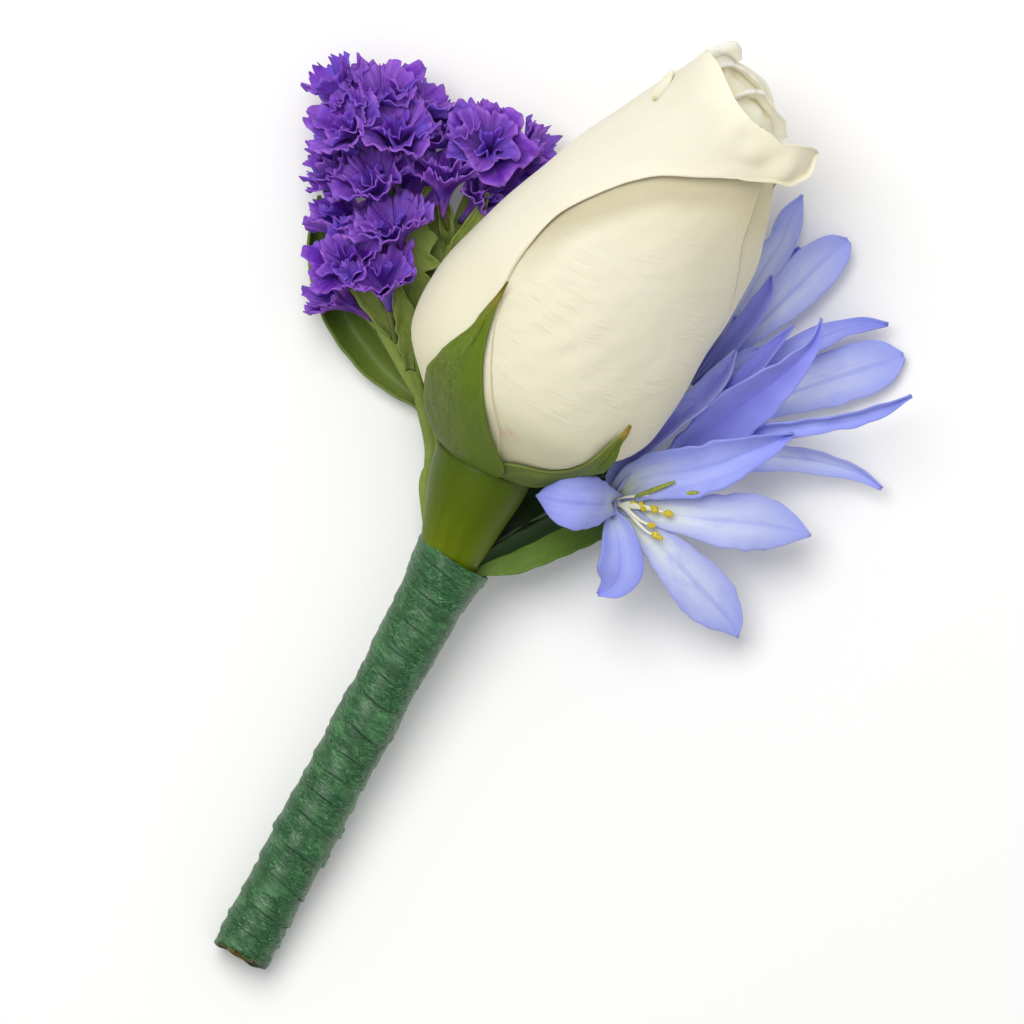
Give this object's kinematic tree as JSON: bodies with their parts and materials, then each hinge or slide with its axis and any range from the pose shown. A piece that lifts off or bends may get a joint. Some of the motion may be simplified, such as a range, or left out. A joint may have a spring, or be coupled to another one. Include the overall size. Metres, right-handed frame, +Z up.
{
  "type": "boutonniere",
  "caption": "Boutonniere: ivory rose bud, blue agapanthus florets, purple statice and leaves, bound with green floral tape.",
  "frame": {"origin": "under the middle of the whole boutonniere, on the surface that it lies on", "axes": "+Y runs up the handle towards the bloom, +Z is up from the surface, +X points to the agapanthus side"},
  "size_m": [0.0826, 0.124, 0.0344],
  "materials": {
    "floral_tape": "waxed crepe paper tape, satin, finely wrinkled",
    "rose_stem": "smooth green hip and stem",
    "rose_petal": "ivory petal, soft and matte",
    "sepal": "matte green with a velvety bloom",
    "leaf": "dark green leaf, slightly glossy",
    "agapanthus_tube": "pale blue tube and green stalk",
    "agapanthus_tepal": "light blue-violet, soft satin",
    "statice_stem": "winged green stem",
    "statice_calyx": "papery violet, dry and matte"
  },
  "bodies": {
    "root": {"floral_tape": "floral_tape", "floret_back_tepal_1": "agapanthus_tepal", "floret_back_tepal_2": "agapanthus_tepal", "floret_back_tepal_3": "agapanthus_tepal", "floret_back_tepal_4": "agapanthus_tepal", "floret_back_tepal_5": "agapanthus_tepal", "floret_back_tepal_6": "agapanthus_tepal", "floret_back_tube": "agapanthus_tube", "floret_front_tepal_1": "agapanthus_tepal", "floret_front_tepal_2": "agapanthus_tepal", "floret_front_tepal_3": "agapanthus_tepal", "floret_front_tepal_4": "agapanthus_tepal", "floret_front_tepal_5": "agapanthus_tepal", "floret_front_tepal_6": "agapanthus_tepal", "floret_front_tube": "agapanthus_tube", "floret_middle_tepal_1": "agapanthus_tepal", "floret_middle_tepal_2": "agapanthus_tepal", "floret_middle_tepal_3": "agapanthus_tepal", "floret_middle_tepal_4": "agapanthus_tepal", "floret_middle_tepal_5": "agapanthus_tepal", "floret_middle_tepal_6": "agapanthus_tepal", "floret_middle_tube": "agapanthus_tube", "leaf_left": "leaf", "leaf_right": "leaf", "petal_inner_back": "rose_petal", "petal_inner_front": "rose_petal", "petal_inner_left": "rose_petal", "petal_inner_right": "rose_petal", "petal_outer_back": "rose_petal", "petal_outer_front": "rose_petal", "petal_outer_left": "rose_petal", "petal_outer_right": "rose_petal", "petal_outer_under": "rose_petal", "rose_heart": "rose_petal", "rose_stem": "rose_stem", "sepal_front": "sepal", "sepal_lower_left": "sepal", "sepal_lower_right": "sepal", "sepal_right": "sepal", "sepal_under": "sepal", "statice_flower_01": "statice_calyx", "statice_flower_02": "statice_calyx", "statice_flower_03": "statice_calyx", "statice_flower_04": "statice_calyx", "statice_flower_05": "statice_calyx", "statice_flower_06": "statice_calyx", "statice_flower_07": "statice_calyx", "statice_flower_08": "statice_calyx", "statice_flower_09": "statice_calyx", "statice_flower_10": "statice_calyx", "statice_flower_11": "statice_calyx", "statice_flower_12": "statice_calyx", "statice_flower_13": "statice_calyx", "statice_flower_14": "statice_calyx", "statice_flower_15": "statice_calyx", "statice_flower_16": "statice_calyx", "statice_flower_17": "statice_calyx", "statice_stem_left": "statice_stem", "statice_stem_middle": "statice_stem", "statice_stem_right": "statice_stem"}
  },
  "joints": []
}
